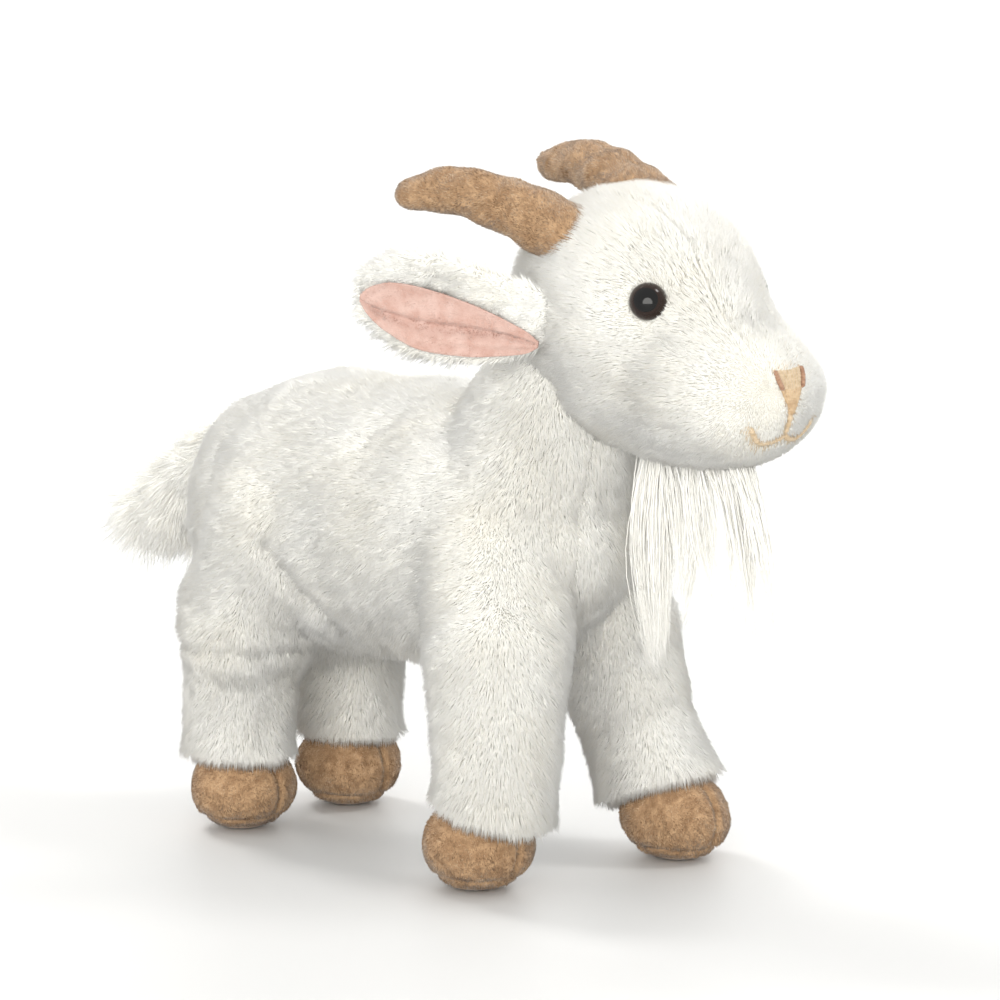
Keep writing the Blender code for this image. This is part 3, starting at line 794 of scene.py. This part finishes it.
def add_eye(side, place):
    """A glossy dome with a brown rim round its pupil."""
    shape = bmesh.new()
    bmesh.ops.create_uvsphere(shape, u_segments=64, v_segments=40, radius=1)
    bmesh.ops.scale(shape, vec=(EYE_RADIUS, EYE_RADIUS, EYE_BULGE), verts=shape.verts)
    for face in shape.faces:
        middle = face.calc_center_median()
        face.material_index = 1 if math.hypot(middle.x, middle.y) > EYE_RADIUS * PUPIL_SHARE else 0
    bmesh.ops.transform(shape, matrix=place @ Matrix.Translation((0, 0, EYE_LIFT)), verts=shape.verts)
    item = piece(f"safety_eye_{side}", finished(shape, "eye"), [EYE_BLACK, EYE_BROWN])
    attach(item, "head")
    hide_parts(f"eye_{side}", f"eye_{side}_washer")


def forehead_nearness(points):
    """How close each point is to the seams of the forehead gusset, from 0 to 1."""
    near = np.exp(-((np.abs(points[:, 0]) - FOREHEAD_HALF_WIDTH) / 1.2) ** 2)
    return near * (points[:, 2] > FOREHEAD_BOTTOM) * (points[:, 1] < -60)


def brow_dip(points):
    """The bridge between brow and nose lies a little hollow."""
    bridge = distance_to_line(points, np.array(BRIDGE, float))
    return BRIDGE_DIP * np.exp(-(bridge / 14) ** 2)


def add_head():
    skin = fused(head_balls(SKIN_INSET), 1.4, 8)
    eye_x, hollow_depth, hollow_width = EYE_HOLLOW

    def dents(points):
        depth = forehead_nearness(points) * 0.6 + ripple(points, 24, 8) * 0.35 + brow_dip(points)
        for sign in (-1, 1):
            away = np.linalg.norm(points - (sign * eye_x, EYE_Y, EYE_HEIGHT), axis=1)
            depth += hollow_depth * np.exp(-(away / hollow_width) ** 2)
        return depth

    pressed(skin, dents)
    tree = BVHTree.FromPolygons([v.co for v in skin.vertices], [p.vertices[:] for p in skin.polygons])
    eyes = {side: eye_place(tree, side) for side in ("right", "left")}
    for side, place in eyes.items():
        add_eye(side, place)
    mouth_lines = [front_line(tree, arm) for arm in both_sides(MOUTH_SIDE) + [PHILTRUM]]
    add_stitches(tree, mouth_lines)
    coat, tan = head_coat(skin, list(eyes.values()), mouth_lines)
    ground = piece("head_cloth", skin, [HEAD_GROUND_PAINTED_SHADE])
    stuffed(ground, "head", ("head_side_right", "head_side_left", "head_top_gusset", "chin_gusset",
                                   "head_filling"))
    fur_pieces("head_fur", coat, ~tan, "head", WHITE_STRANDS)
    fur_pieces("nose_pile", coat, tan, "head", TAN_STRANDS)


def head_coat(skin, eye_places, mouth_lines):
    """The head's pile, combed away from the muzzle's tip, and which of its strands are tan."""
    coat = Coat(skin, HEAD_DENSITY, SEEDS["head"])
    points = coat.roots
    clear = ~inside_any(points, body_balls(SKIN_INSET + 2))
    for place in eye_places:
        clear &= np.linalg.norm(points - np.array(place.translation), axis=1) > EYE_RADIUS - 0.4
    for side in ("right", "left"):
        clear &= ~inside_any(points, horn_balls(side, 1.5))
    coat.keep(clear)
    points = coat.roots
    tip = np.array(MUZZLE_TIP)
    from_tip = np.linalg.norm(points - tip, axis=1)
    way = unit(points - tip) + np.array((0, 0.25, -0.25))
    away = smoothstep((from_tip - 6) / 45)
    seam = forehead_nearness(points)
    way[:, 0] += np.sign(points[:, 0]) * np.sign(np.abs(points[:, 0]) - FOREHEAD_HALF_WIDTH) * seam * 0.4
    lengths = MUZZLE_PILE + CHEEK_PILE_EXTRA * away
    lengths = lengths * (1 - 0.25 * seam) * (1 - 0.08 * ripple(points, 14, 78))
    for place in eye_places:
        socket = np.array(place.translation)
        near = np.exp(-(np.linalg.norm(points - socket, axis=1) / 9.0) ** 2)
        lengths *= 1 - 0.55 * near
        way += unit(points - socket) * near[:, None] * 1.5
    nose = nose_strength(points)
    mouth_near = np.min([distance_to_line(points, line) for line, _ in mouth_lines], axis=0)
    mouth = 0.9 * np.exp(-(mouth_near / 1.5) ** 2)
    lengths *= 1 - 0.4 * nose - 0.4 * mouth
    coat.comb(way, lengths, 0.9, COAT_TOUSLE, HEAD_STRAND)
    coat.shade(22)
    tan = coat.rng.uniform(size=len(points)) < np.maximum(nose, mouth)
    rise = (points[tan, 2] - NOSE_BOTTOM) / (NOSE_TOP - NOSE_BOTTOM) + 3 * (nose[tan] < 0.05)
    coat.tint[tan] = np.digitize(rise + coat.rng.normal(size=tan.sum()) * 0.25, (0.25, 0.5, 0.85))
    return coat, tan


def nose_strength(points):
    """How tan the pile is: 1 inside the nose's upturned triangle, fading at its edges and top."""
    rise = (points[:, 2] - NOSE_BOTTOM) / (NOSE_TOP - NOSE_BOTTOM)
    narrow, wide = NOSE_HALF_WIDTH
    half = narrow + (wide - narrow) * np.clip(rise, 0, 1)
    across = smoothstep((half + 0.8 - np.abs(points[:, 0])) / 1.8)
    upward = smoothstep((1.1 - rise) / 0.7) * smoothstep((rise + 0.12) / 0.12)
    return across * upward * (points[:, 1] < -125)


def tube(places, radii, sides=10):
    """A closed tube through the places, rounded off at its ends."""
    run = unit(np.gradient(places, axis=0))
    side = unit(np.cross(run, np.array([[0, 1.0, 0]])))
    other = np.cross(run, side)
    shape = bmesh.new()
    rings = []
    for place, a, b, radius in zip(places, side, other, radii):
        ring = []
        for corner in range(sides):
            angle = 2 * math.pi * corner / sides
            ring.append(shape.verts.new(place + (a * math.cos(angle) + b * math.sin(angle)) * radius))
        rings.append(ring)
    for low, high in zip(rings, rings[1:]):
        for corner in range(sides):
            after = (corner + 1) % sides
            shape.faces.new((low[corner], low[after], high[after], high[corner]))
    shape.faces.new(rings[0])
    shape.faces.new(rings[-1])
    bmesh.ops.recalc_face_normals(shape, faces=shape.faces)
    return finished(shape, "tube")


def merged(meshes):
    shape = bmesh.new()
    for mesh in meshes:
        shape.from_mesh(mesh)
    return finished(shape, "merged")


def thread(line, lift, thickness):
    """A row of stitches laid along a line on the skin, each a little bulge."""
    places, normals = line
    steps = np.linspace(0, len(places) - 1, 6 * len(places))
    index = np.arange(len(places))
    path = np.stack([np.interp(steps, index, places[:, i] + normals[:, i] * lift) for i in range(3)], axis=1)
    bulge = 0.78 + 0.22 * np.abs(np.sin(steps * 2.2))
    taper = np.sin(np.clip(np.minimum(steps, steps[-1] - steps) / 1.5, 0, 1) * math.pi / 2) * 0.8 + 0.2
    return tube(path, thickness * bulge * taper)


def satin_rows():
    """The rows of stitches across the nose, from its point upwards, as (x, z)."""
    narrow, wide = NOSE_HALF_WIDTH
    rows = []
    for share in np.linspace(0.08, 0.86, SATIN_ROWS):
        z = NOSE_BOTTOM + (NOSE_TOP - NOSE_BOTTOM) * share
        half = narrow + (wide - narrow) * share - 0.9
        rows.append([(-half, z), (0, z - 0.5), (half, z)])
    return rows


def add_stitches(tree, mouth_lines):
    nose_lines = [front_line(tree, arm) for arm in both_sides(NOSE_ARM)]
    satin = [front_line(tree, row) for row in satin_rows()]
    nostrils = [front_line(tree, arm) for arm in both_sides(NOSTRIL)]
    dark_rows = SATIN_ROWS * 3 // 5
    edges = [thread(line, 0.1, 0.6) for line in nose_lines]
    dark = [thread(line, 0.15, 1.0) for line in satin[:dark_rows]]
    pale = [thread(line, 0.0, 1.0) for line in satin[dark_rows:]]
    mouth = [thread(line, 0.1, 1.0) for line in mouth_lines]
    slits = [thread(line, 0.75, 0.85) for line in nostrils]
    for name, threads, material, replaced in (
            ("nose_patch", edges + dark, TAN_THREAD, "nose"),
            ("nose_patch_top", pale, MOUTH_THREAD, None),
            ("mouth_thread", mouth, MOUTH_THREAD, "mouth_stitching"),
            ("nostril_thread", slits, NOSTRIL_THREAD, None)):
        item = piece(name, merged(threads), [material])
        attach(item, "head")
        if replaced:
            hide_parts(replaced)


# ---- horns and hooves

def horn_points(side):
    sign, lift = (1, 0) if side == "right" else (-1, HORN_LIFT_LEFT)
    return [(x * sign, y, z + lift, radius) for x, y, z, radius in HORN]


def horn_balls(side, inset):
    return chain(horn_points(side), inset)


def nap(name, skin, holder, length, way_at, seed, keep):
    """Short brown pile on a skin, streaked like brushed minky."""
    coat = Coat(skin, NAP_DENSITY, seed)
    coat.keep(keep(coat))
    way = way_at(coat.roots)
    coat.comb(way, np.full(len(way), length), 0.8, 0.5, FINE_STRAND)
    wander = (ripple(coat.roots, 8, seed + 3) * 0.5 + ripple(coat.roots, 2.0, seed + 4) * 0.35
              + coat.rng.normal(size=len(way)) * 0.7)
    coat.tint = np.digitize(wander, (-0.95, 0.0, 1.0))
    fur_pieces(name, coat, EVERY_STRAND, holder, BROWN_STRANDS)


def add_horns():
    for number, side in enumerate(("right", "left")):
        balls = horn_balls(side, 0.9)
        skin = fused(balls, 0.9, 5)
        line = np.array([ball[:3] for ball in balls])
        seam_line = line + np.array((0, 0, 1.0)) * np.array([ball[3] for ball in balls])[:, None]
        pressed(skin, lambda points, seam_line=seam_line: 0.7 * np.exp(
            -(distance_to_line(points, seam_line[6:]) / 1.0) ** 2) + ripple(points, 13, 5) * 0.45)
        along = unit(line[-1:] - line[:1])[0]
        nap(f"horn_{side}_nap", skin, "head", HORN_NAP, lambda points, along=along: points * 0 + along * 1.2,
            SEEDS["horn"] + number * 30, lambda coat: ~inside_any(coat.roots, head_balls(SKIN_INSET)))
        item = piece(f"horn_{side}_cloth", skin, [BROWN_GROUND])
        stuffed(item, "head", (f"horn_{side}_cover", f"horn_{side}_filling"))


def add_hooves():
    for number, (name, stance) in enumerate(LEG_STANCES.items()):
        x, y = stance[1]
        radii = (HOOF_RADIUS - 0.3, HOOF_RADIUS * 1.04 - 0.3, HOOF_HALF_HEIGHT - 0.6)
        skin = fused([(x, y, HOOF_CENTRE_HEIGHT, *radii)], 0.9, 3)

        def dents(points, x=x, y=y):
            cleft = np.exp(-((points[:, 0] - x) / 1.1) ** 2) * (points[:, 1] < y) * 1.5
            sole = np.exp(-((points[:, 2] - SOLE_SEAM) / 0.8) ** 2) * 0.9
            return cleft * (points[:, 2] > SOLE_SEAM) + sole + ripple(points, 15, 6) * 0.35

        pressed(skin, dents)
        places, _ = points_of(skin)
        places[:, 2] = np.maximum(places[:, 2], 0.5)
        moved(skin, places)
        nap(f"leg_{name}_hoof_nap", skin, f"leg_{name}", HOOF_NAP,
            lambda points: points * 0 + np.array((0, -0.3, -1.0)), SEEDS["hoof"] + number * 30,
            lambda coat: (coat.roots[:, 2] > 1.8) & (coat.roots[:, 2] < 30))
        item = piece(f"leg_{name}_hoof_cloth", skin, [BROWN_GROUND])
        nodes = [f"leg_{name}_hoof_{node}" for node in ("cover", "sole", "filling")]
        stuffed(item, f"leg_{name}", nodes)


# ---- ears

def ear_frame():
    """The right ear's own frame: Y to the tip, Z out of the lining, origin at the root."""
    root, tip = Vector(EAR_ROOT), Vector(EAR_TIP)
    along = (tip - root).normalized()
    facing = Vector(EAR_FACING)
    facing = (facing - along * facing.dot(along)).normalized()
    turn = Matrix((along.cross(facing), along, facing)).transposed().to_4x4()
    return Matrix.Translation(root) @ turn


def ear_curl(points):
    """The ear's edges curled towards its lining, in the ear's own frame."""
    away = np.clip((points[:, 1] - EAR_THICKNESS) / 15, 0, 1)
    curled = points.copy()
    curled[:, 2] += EAR_CUP * away * (points[:, 0] / 15) ** 2
    return curled


def placed(points, side):
    """Points from the right ear's frame to their place on either side of the head."""
    frame_matrix = np.array(ear_frame())
    world = points @ frame_matrix[:3, :3].T + frame_matrix[:3, 3]
    if side == "left":
        world = world * (-1, 1, 1)
    return world


def lining_distance(points):
    """How far outside the lining's outline each point is across the ear; negative where it is under it."""
    y, centre, half = np.array(LINING_SECTIONS).T
    middle = np.interp(points[:, 1], y, centre)
    reach = np.interp(points[:, 1], y, half, left=0, right=0)
    return np.abs(points[:, 0] - middle) - reach


def lining_sheet():
    """The leaf-shaped lining with its lengthwise crease, in the ear's frame, as a closed sheet."""
    rows = smooth_line(LINING_SECTIONS, 12)
    across = np.linspace(-1, 1, 41)
    shape = bmesh.new()
    layers = []
    for lift in (0.0, -1.4):
        grid = []
        for y, centre, half in rows:
            x = centre + across * half
            crease = np.interp(y, *CREASE)
            fold = np.exp(-((across - crease) / 0.16) ** 2) * min(half / 7, 1)
            swell = np.exp(-((across - crease + 0.4) / 0.25) ** 2) * min(half / 7, 1)
            z = LINING_HEIGHT + lift * (1 - across ** 4 * 0.8) - 1.7 * fold + 0.9 * swell
            line = ear_curl(np.stack([x, np.full_like(x, y), z], axis=1))
            grid.append([shape.verts.new(point) for point in line])
        layers.append(grid)
    top, bottom = layers
    last_row, last_column = len(rows) - 1, len(across) - 1
    for row in range(last_row):
        for column in range(last_column):
            for grid, flip in ((top, False), (bottom, True)):
                corners = [grid[row][column], grid[row][column + 1], grid[row + 1][column + 1],
                           grid[row + 1][column]]
                shape.faces.new(corners[::-1] if flip else corners)
    rim = [(0, c) for c in range(last_column)] + [(r, last_column) for r in range(last_row)]
    rim += [(last_row, c) for c in range(last_column, 0, -1)] + [(r, 0) for r in range(last_row, 0, -1)]
    for (r1, c1), (r2, c2) in zip(rim, rim[1:] + rim[:1]):
        shape.faces.new((top[r1][c1], top[r2][c2], bottom[r2][c2], bottom[r1][c1]))
    bmesh.ops.recalc_face_normals(shape, faces=shape.faces)
    return finished(shape, "lining")


def ear_coat(back, number):
    """The white pile of an ear's back and rim, in the ear's frame, laid over the lining's edge."""
    coat = Coat(back, EAR_DENSITY, SEEDS["ear"] + number)
    from_lining = lining_distance(coat.roots)
    facing_out = coat.normals[:, 2] > 0.15
    clear = ~(facing_out & (from_lining < -0.6))
    coat.keep(clear)
    beside = np.exp(-(from_lining[clear] / 2.5) ** 2) * facing_out[clear]
    points = coat.roots
    edge = np.clip(np.abs(points[:, 0]) / 12, 0, 1)
    way = np.zeros_like(points)
    way[:, 1] = 1.0
    way[:, 0] = np.sign(points[:, 0]) * (0.45 * edge - 0.8 * beside)
    lengths = EAR_PILE + 1.2 * edge - 2.2 * (coat.normals[:, 2] > 0.3)
    coat.comb(way, lengths, 0.6, 0.4, EAR_STRAND)
    coat.shade(18)
    return coat


def lining_pile(sheet, number):
    """The short pink pile of an ear's lining, in the ear's frame, with its darkest tint painted along the
    crease as shade.
    """
    pile = Coat(sheet, LINING_DENSITY, SEEDS["lining"] + number)
    pile.keep(pile.normals[:, 2] > 0.05)
    count = len(pile.roots)
    pile.comb(np.tile((0.2, 1.0, 0), (count, 1)), np.full(count, LINING_PILE), 0.8, 0.9, FINE_STRAND)
    pile.shade(9)
    y, centre, half = np.array(LINING_SECTIONS).T
    row_y = pile.roots[:, 1]
    share = (pile.roots[:, 0] - np.interp(row_y, y, centre)) / np.maximum(np.interp(row_y, y, half), 1.0)
    # Painted shade: the darkest pink tint is laid along the lining's crease, where shadow falls.
    crease_shade = np.abs(share - np.interp(row_y, *CREASE) + 0.03) < 0.14
    pile.tint[crease_shade & (row_y > 12) & (row_y < 50)] = 0
    return pile


def put_on_head(hairs, side):
    """Moves a coat from the ear's frame to its place on the head."""
    tips = placed(hairs.roots + hairs.directions, side)
    outs = placed(hairs.roots + hairs.normals, side)
    hairs.roots = placed(hairs.roots, side)
    hairs.directions = tips - hairs.roots
    hairs.normals = outs - hairs.roots


def add_ears():
    rows = smooth_line([(centre, y, 0, half) for y, centre, half in EAR_SECTIONS], 6)
    balls = [(x, y, z, half - 2.0, EAR_THICKNESS - 1.6, EAR_THICKNESS - 2.6) for x, y, z, half in rows]
    for number, side in enumerate(("right", "left")):
        back = fused(balls, 0.9, 4)
        points, _ = points_of(back)
        moved(back, ear_curl(points))
        sheet = lining_sheet()
        coat = ear_coat(back, number)
        pile = lining_pile(sheet, number)
        for hairs in (coat, pile):
            put_on_head(hairs, side)
        for mesh in (back, sheet):
            points, _ = points_of(mesh)
            moved(mesh, placed(points, side))
            if side == "left":
                mesh.flip_normals()
        coat.keep(~inside_any(coat.roots, head_balls(SKIN_INSET)))
        body = f"ear_{side}"
        fur_pieces(f"ear_{side}_fur", coat, EVERY_STRAND, body, WHITE_STRANDS,
                   droop=(0, 0, -0.12))
        fur_pieces(f"ear_{side}_velour_pile", pile, EVERY_STRAND, body, PINK_STRANDS)
        item = piece(f"ear_{side}_cloth", back, [WHITE_GROUND])
        stuffed(item, body, (f"ear_{side}_back",))
        item = piece(f"ear_{side}_velour", sheet, [PINK_GROUND])
        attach(item, body)
        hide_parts(f"ear_{side}_lining")


# ---- tail and beard

def add_tail():
    skin = fused(chain(TAIL, TAIL_INSET), 1.0, 6)
    line = np.array([ball[:3] for ball in chain(TAIL, TAIL_INSET)])
    coat = Coat(skin, TAIL_DENSITY, SEEDS["tail"])
    coat.keep(~inside_any(coat.roots, body_balls(SKIN_INSET + 1)))
    points = coat.roots
    nearest = np.argmin(np.linalg.norm(points[:, None] - line[None], axis=2), axis=1)
    along = unit(np.gradient(line, axis=0))[nearest]
    reach = nearest / (len(line) - 1)
    way = along * 1.5 + np.array((0, 0, -0.25))
    lengths = TAIL_PILE + TAIL_TIP_EXTRA * reach + 3.0 * ripple(points, 5, 301)
    coat.comb(way, lengths, 0.62, 1.3, TAIL_STRAND)
    coat.shade(12)
    fur_pieces("tail_fur", coat, EVERY_STRAND, "tail", WHITE_STRANDS, segments=3,
               droop=(0, 0, -0.16))
    item = piece("tail_cloth", skin, [WHITE_GROUND])
    stuffed(item, "tail", ("tail_cover", "tail_filling"))


def add_beard():
    rng = np.random.default_rng(SEEDS["beard"])
    shares = np.linspace(0, 1, BEARD_SEGMENTS + 1)[None, :, None]
    lines, widths, tints = [], [], []
    for root_y, back, tip, count in LOCKS:
        roots = np.stack([rng.normal(0, 2.2, count), rng.normal(root_y, 1.4, count),
                          np.full(count, BEARD_TOP) + rng.uniform(-1, 2, count)], axis=1)
        reach = rng.uniform(0.55, 1.0, (count, 1)) ** 0.6
        ends = roots + (np.array(tip) - roots) * reach + rng.normal(0, 1, (count, 3)) * (0.9, 1.1, 0.5)
        bow = rng.normal(0, 1.2, (count, 3)) * (1, 1, 0) + np.array((0, back, 0))
        line = roots[:, None] + (ends - roots)[:, None] * shares
        line = line + bow[:, None] * np.sin(shares * math.pi)
        curl = np.sin(shares * 6.0 + rng.uniform(0, 6.28, (count, 1, 1))) * shares
        lines.append(line + curl * rng.normal(0, 0.6, (count, 1, 3)) * (1, 1, 0))
        widths.append(rng.uniform(*BEARD_STRANDS, count))
        tints.append(rng.integers(1, 4, count))
    mesh = strand_mesh(np.concatenate(lines), np.concatenate(widths), np.concatenate(tints))
    item = piece("beard_hair", mesh, WHITE_STRANDS)
    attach(item, "beard")
    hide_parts("beard")


# ---- stage, light and camera

def add_floor():
    shape = bmesh.new()
    bmesh.ops.create_grid(shape, x_segments=1, y_segments=1, size=6)
    mesh = finished(shape, "floor")
    floor = new_object(mesh, "floor")
    material, shader = new_material("pale_floor", 0.6)
    shader.inputs["Base Color"].default_value = FLOOR_COLOUR
    mesh.materials.append(material)


def add_lamp(name, azimuth, elevation, spread, strength, colour):
    """A far soft lamp aimed at the goat from its angles, in degrees; the spread softens its shadows."""
    lamp = bpy.data.lights.new(name, 'SUN')
    lamp.angle = math.radians(spread)
    lamp.energy = strength * math.pi
    lamp.color = colour
    item = bpy.data.objects.new(name, lamp)
    bpy.context.scene.collection.objects.link(item)
    item.rotation_euler = (-view_direction(azimuth, elevation)).to_track_quat('-Z', 'Y').to_euler()


def view_direction(azimuth, elevation):
    """From the goat towards a viewer at that azimuth and elevation, in degrees."""
    turn, rise = math.radians(azimuth), math.radians(elevation)
    return Vector((math.sin(turn) * math.cos(rise), -math.cos(turn) * math.cos(rise), math.sin(rise)))


def add_camera():
    camera = bpy.data.cameras.new("camera")
    camera.lens = CAMERA_LENS
    camera.shift_x, camera.shift_y = CAMERA_SHIFT
    camera.clip_end = 50
    item = bpy.data.objects.new("camera", camera)
    bpy.context.scene.collection.objects.link(item)
    way = view_direction(CAMERA_AZIMUTH, CAMERA_ELEVATION)
    item.location = (Vector(CAMERA_TARGET) + way * CAMERA_DISTANCE) * MM
    item.rotation_euler = (-way).to_track_quat('-Z', 'Y').to_euler()
    bpy.context.scene.camera = item


def add_light():
    world = bpy.data.worlds.new("studio")
    world.use_nodes = True
    world.node_tree.nodes["Background"].inputs["Color"].default_value = WORLD_COLOUR
    world.node_tree.nodes["Background"].inputs["Strength"].default_value = WORLD_STRENGTH
    bpy.context.scene.world = world
    for name, (turn, elevation, spread, strength, colour) in LAMPS.items():
        add_lamp(name, CAMERA_AZIMUTH + turn, elevation, spread, strength, colour)
    bpy.context.scene.view_settings.view_transform = 'Standard'


add_camera()
add_light()
add_floor()
add_body()
add_head()
add_horns()
add_hooves()
add_ears()
add_tail()
add_beard()
